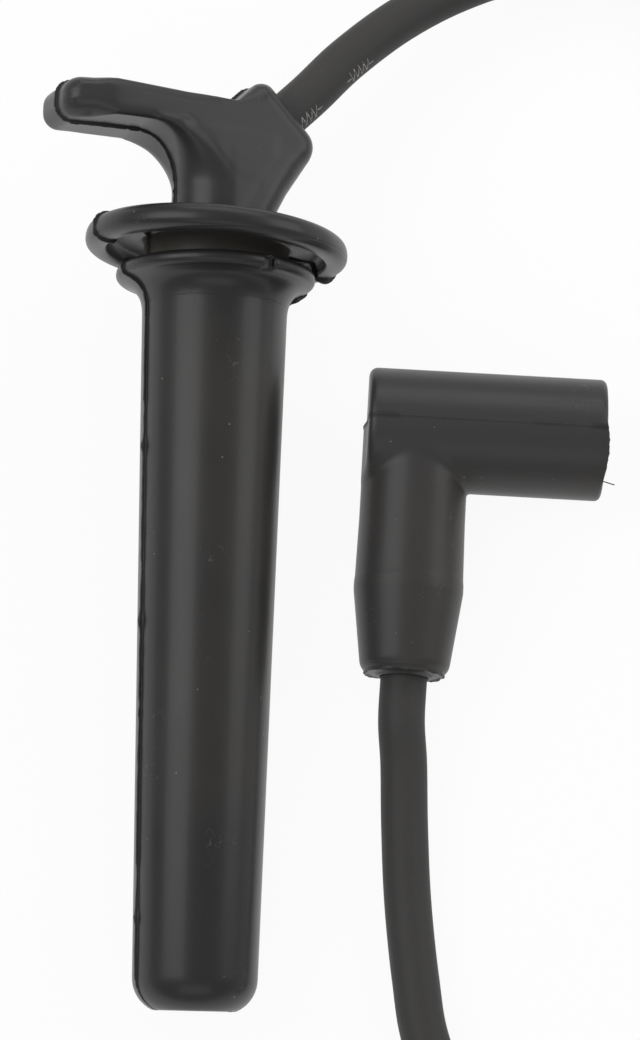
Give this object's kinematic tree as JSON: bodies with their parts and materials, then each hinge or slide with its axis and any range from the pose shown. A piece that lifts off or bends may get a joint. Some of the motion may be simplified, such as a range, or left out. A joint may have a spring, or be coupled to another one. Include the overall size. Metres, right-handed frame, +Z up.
{
  "type": "spark plug wire",
  "caption": "Ignition lead: a jacketed wire between a long straight plug boot with seal and pull handle, and a right-angle coil boot.",
  "frame": {"origin": "on the table, under the middle of the plug boot", "axes": "+Z up from the table, +Y along the plug boot from its mouth to its handle, +X towards the coil boot"},
  "size_m": [0.1221, 0.2005, 0.0394],
  "materials": {
    "boot_rubber": "satin moulded rubber with a parting line",
    "wire_jacket": "matte extruded jacket",
    "plated_steel": "stamped and plated",
    "spring_steel": "plain spring wire",
    "conductor": "carbon-filled strand"
  },
  "bodies": {
    "root": {"plug_boot": "boot_rubber", "plug_terminal": "plated_steel", "plug_terminal_clip": "spring_steel", "plug_end_core": "conductor", "plug_end_wire": "wire_jacket", "wire": "wire_jacket", "coil_boot": "boot_rubber", "coil_terminal": "plated_steel", "coil_terminal_clip": "spring_steel", "coil_end_core": "conductor", "coil_end_wire": "wire_jacket"}
  },
  "joints": []
}
